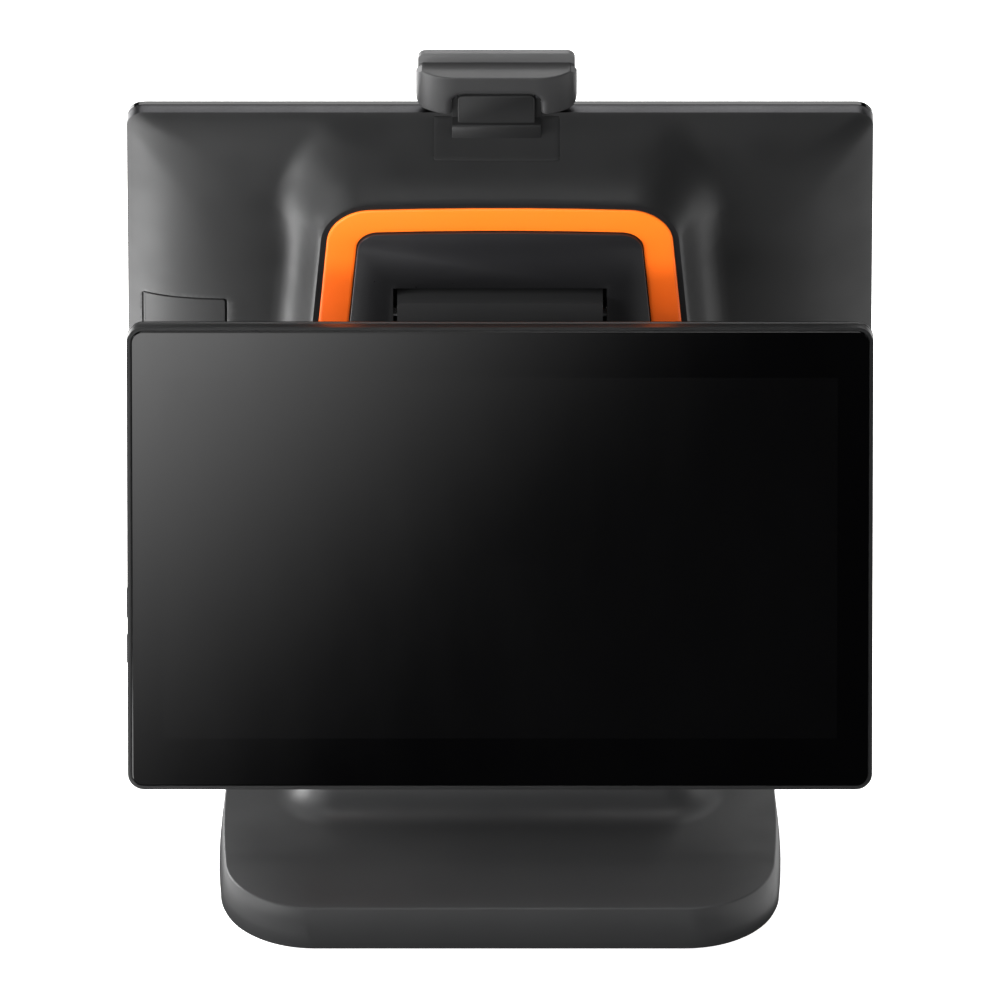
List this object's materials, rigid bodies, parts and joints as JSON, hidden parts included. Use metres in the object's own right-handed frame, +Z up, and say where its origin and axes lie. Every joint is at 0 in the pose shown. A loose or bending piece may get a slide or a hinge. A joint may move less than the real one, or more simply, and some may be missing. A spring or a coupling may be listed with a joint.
{
  "type": "pos touchscreen terminal",
  "caption": "Counter terminal with two back-to-back tilting touchscreens on one neck, a ring-trimmed rear hump, a tilting camera on top, a service door and a weighted rounded base.",
  "frame": {"origin": "on the counter, under the middle of the terminal's overall width and depth", "axes": "+Z up, +Y towards the operator, -Y towards the customer, X along both displays"},
  "size_m": [0.3809, 0.1986, 0.4571],
  "materials": {
    "stand_plastic": "fine texture",
    "bottom_plastic": "matte",
    "steel": "zinc grey",
    "bright_steel": "turned",
    "cast_aluminium": "dark anodised",
    "heat_sink_aluminium": "extruded",
    "rubber": "soft",
    "display_plastic": "fine texture",
    "black_gloss": "polished",
    "orange_gloss": "satin",
    "cover_glass": "polished, black printed back",
    "lcd_panel": "pressed tray",
    "circuit_board": "solder mask",
    "black_plastic": "moulded",
    "standoff_brass": "turned",
    "button_plastic": "matte"
  },
  "bodies": {
    "stand": {"base_cover": "stand_plastic", "base_bottom_cover": "bottom_plastic", "base_weight_plate": "steel", "rubber_feet": "rubber", "base_screws": "bright_steel", "neck_frame": "steel", "neck_front_cover": "stand_plastic", "neck_rear_cover": "stand_plastic", "main_hinge_pin_left": "bright_steel", "main_hinge_pin_right": "bright_steel", "customer_arm": "cast_aluminium", "rear_port_panel": "bottom_plastic", "port_board": "circuit_board", "lan_socket": "bright_steel", "usb_sockets": "bright_steel", "power_inlet": "black_plastic", "neck_cable": "black_plastic"},
    "main_display": {"main_glass": "cover_glass", "main_frame": "cast_aluminium", "main_lcd_panel": "lcd_panel", "main_chassis_plate": "steel", "main_rear_cover": "display_plastic", "ring_trim": "orange_gloss", "centre_panel": "black_gloss", "main_board": "circuit_board", "board_standoffs": "standoff_brass", "heat_sink": "heat_sink_aluminium", "main_processor": "black_plastic", "speaker_left": "black_plastic", "speaker_right": "black_plastic", "main_hinge_bracket_left": "steel", "main_hinge_bracket_right": "steel", "hinge_bracket_screws": "bright_steel", "side_port_block": "black_plastic", "camera_bracket": "display_plastic"},
    "service_door": {"service_door": "display_plastic"},
    "camera": {"camera_housing": "display_plastic", "camera_bezel": "display_plastic", "camera_window": "cover_glass", "camera_board": "circuit_board", "camera_lens": "black_gloss", "camera_hinge_pin": "bright_steel", "camera_friction_washers": "black_plastic"},
    "customer_display": {"customer_glass": "cover_glass", "customer_frame": "display_plastic", "customer_lcd_panel": "lcd_panel", "customer_board": "circuit_board", "customer_rear_cover": "display_plastic", "customer_hinge_plate": "cast_aluminium", "hinge_plate_screws": "bright_steel", "customer_hinge_pin": "bright_steel", "side_button_board": "circuit_board"},
    "power_button": {"power_button": "button_plastic"},
    "volume_button": {"volume_button": "button_plastic"}
  },
  "joints": [
    {"name": "main_tilt", "type": "hinge", "parent": "stand", "child": "main_display", "pos_m": [0, 0.04211, 0.30002], "axis": [1, 0, 0], "range_deg": [-7, 18]},
    {"name": "customer_tilt", "type": "hinge", "parent": "stand", "child": "customer_display", "pos_m": [0, -0.02364, 0.20301], "axis": [1, 0, 0], "range_deg": [-5, 15]},
    {"name": "camera_tilt", "type": "hinge", "parent": "main_display", "child": "camera", "pos_m": [-0.0018, 0.03525, 0.43366], "axis": [1, 0, 0], "range_deg": [-15, 15]},
    {"name": "service_door_hinge", "type": "hinge", "parent": "main_display", "child": "service_door", "pos_m": [-0.18145, 0.06122, 0.29808], "axis": [0, 0.2147, -0.9767], "range_deg": [0, 95]},
    {"name": "power_button_press", "type": "slide", "parent": "customer_display", "child": "power_button", "axis": [1, 0, 0], "range_m": [0, 0.0006], "stiffness_N_per_m": 400},
    {"name": "volume_button_press", "type": "slide", "parent": "customer_display", "child": "volume_button", "axis": [1, 0, 0], "range_m": [0, 0.0006], "stiffness_N_per_m": 400}
  ]
}
